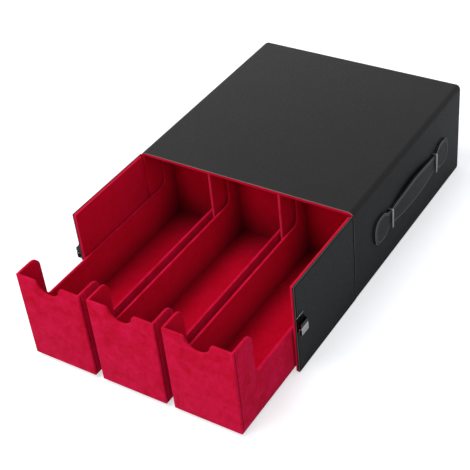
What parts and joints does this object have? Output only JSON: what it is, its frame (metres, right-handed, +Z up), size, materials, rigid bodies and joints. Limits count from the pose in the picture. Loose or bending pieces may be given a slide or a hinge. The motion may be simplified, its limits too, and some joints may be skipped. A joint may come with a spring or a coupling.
{
  "type": "trading card drawer box",
  "caption": "Leatherette case, open at the front, with suede-lined drawers for upright cards, wing doors on leather hinges, door clasps and a strap handle on one side.",
  "frame": {"origin": "centre of the case's flat underside", "axes": "+X to the right seen from the drawers, +Y to the back, +Z up"},
  "size_m": [0.2664, 0.477, 0.112],
  "materials": {
    "black_leatherette": "fine grained black leatherette, low sheen",
    "black_leather_strap": "smooth black strap leather with painted edges",
    "red_suede": "short red microfibre suede",
    "greyboard": "plain bookbinder's board, hidden under the covering",
    "gunmetal": "polished gunmetal plating",
    "plain_steel": "plain sheet steel, hidden under the lining"
  },
  "bodies": {
    "case": {"back_board": "greyboard", "base_board": "greyboard", "base_cover": "black_leatherette", "case_lining": "red_suede", "front_backing_plate": "plain_steel", "front_handle_loop": "gunmetal", "left_divider_board": "greyboard", "left_divider_sleeve": "red_suede", "left_side_board": "greyboard", "outer_cover": "black_leatherette", "rear_backing_plate": "plain_steel", "rear_handle_loop": "gunmetal", "right_divider_board": "greyboard", "right_divider_sleeve": "red_suede", "right_side_board": "greyboard", "top_board": "greyboard"},
    "left_door": {"left_clasp_catch": "gunmetal", "left_clasp_pin": "gunmetal", "left_clasp_rivets": "gunmetal", "left_door_board": "greyboard", "left_door_cover": "black_leatherette", "left_door_hinge_strip": "black_leatherette", "left_door_lining": "red_suede"},
    "right_door": {"right_clasp_catch": "gunmetal", "right_clasp_pin": "gunmetal", "right_clasp_rivets": "gunmetal", "right_door_board": "greyboard", "right_door_cover": "black_leatherette", "right_door_hinge_strip": "black_leatherette", "right_door_lining": "red_suede"},
    "left_drawer": {"left_drawer_back_board": "greyboard", "left_drawer_floor_board": "greyboard", "left_drawer_front_board": "greyboard", "left_drawer_inner_suede": "red_suede", "left_drawer_left_board": "greyboard", "left_drawer_outer_suede": "red_suede", "left_drawer_right_board": "greyboard"},
    "middle_drawer": {"middle_drawer_back_board": "greyboard", "middle_drawer_floor_board": "greyboard", "middle_drawer_front_board": "greyboard", "middle_drawer_inner_suede": "red_suede", "middle_drawer_left_board": "greyboard", "middle_drawer_outer_suede": "red_suede", "middle_drawer_right_board": "greyboard"},
    "right_drawer": {"right_drawer_back_board": "greyboard", "right_drawer_floor_board": "greyboard", "right_drawer_front_board": "greyboard", "right_drawer_inner_suede": "red_suede", "right_drawer_left_board": "greyboard", "right_drawer_outer_suede": "red_suede", "right_drawer_right_board": "greyboard"},
    "left_clasp_lever": {"left_clasp_lever": "gunmetal"},
    "right_clasp_lever": {"right_clasp_lever": "gunmetal"},
    "handle_strap": {"handle_strap": "black_leather_strap"}
  },
  "joints": [
    {"name": "left_drawer_slide", "type": "slide", "parent": "case", "child": "left_drawer", "axis": [0, 1, 0], "range_m": [-0.02, 0.2135]},
    {"name": "middle_drawer_slide", "type": "slide", "parent": "case", "child": "middle_drawer", "axis": [0, 1, 0], "range_m": [-0.02, 0.2135]},
    {"name": "right_drawer_slide", "type": "slide", "parent": "case", "child": "right_drawer", "axis": [0, 1, 0], "range_m": [-0.02, 0.2135]},
    {"name": "left_door_hinge", "type": "hinge", "parent": "case", "child": "left_door", "pos_m": [-0.1275, -0.132, 0.056], "axis": [0, 0, -1], "range_deg": [0, 170]},
    {"name": "right_door_hinge", "type": "hinge", "parent": "case", "child": "right_door", "pos_m": [0.1275, -0.132, 0.056], "axis": [0, 0, 1], "range_deg": [0, 170]},
    {"name": "left_clasp_flip", "type": "hinge", "parent": "left_door", "child": "left_clasp_lever", "pos_m": [-0.1308, -0.24345, 0.0587], "axis": [0, 1, 0], "range_deg": [0, 80]},
    {"name": "right_clasp_flip", "type": "hinge", "parent": "right_door", "child": "right_clasp_lever", "pos_m": [0.1308, -0.24345, 0.0587], "axis": [0, -1, 0], "range_deg": [0, 80]},
    {"name": "handle_strap_slide", "type": "slide", "parent": "case", "child": "handle_strap", "axis": [0, 1, 0], "range_m": [-0.003, 0.003]}
  ]
}
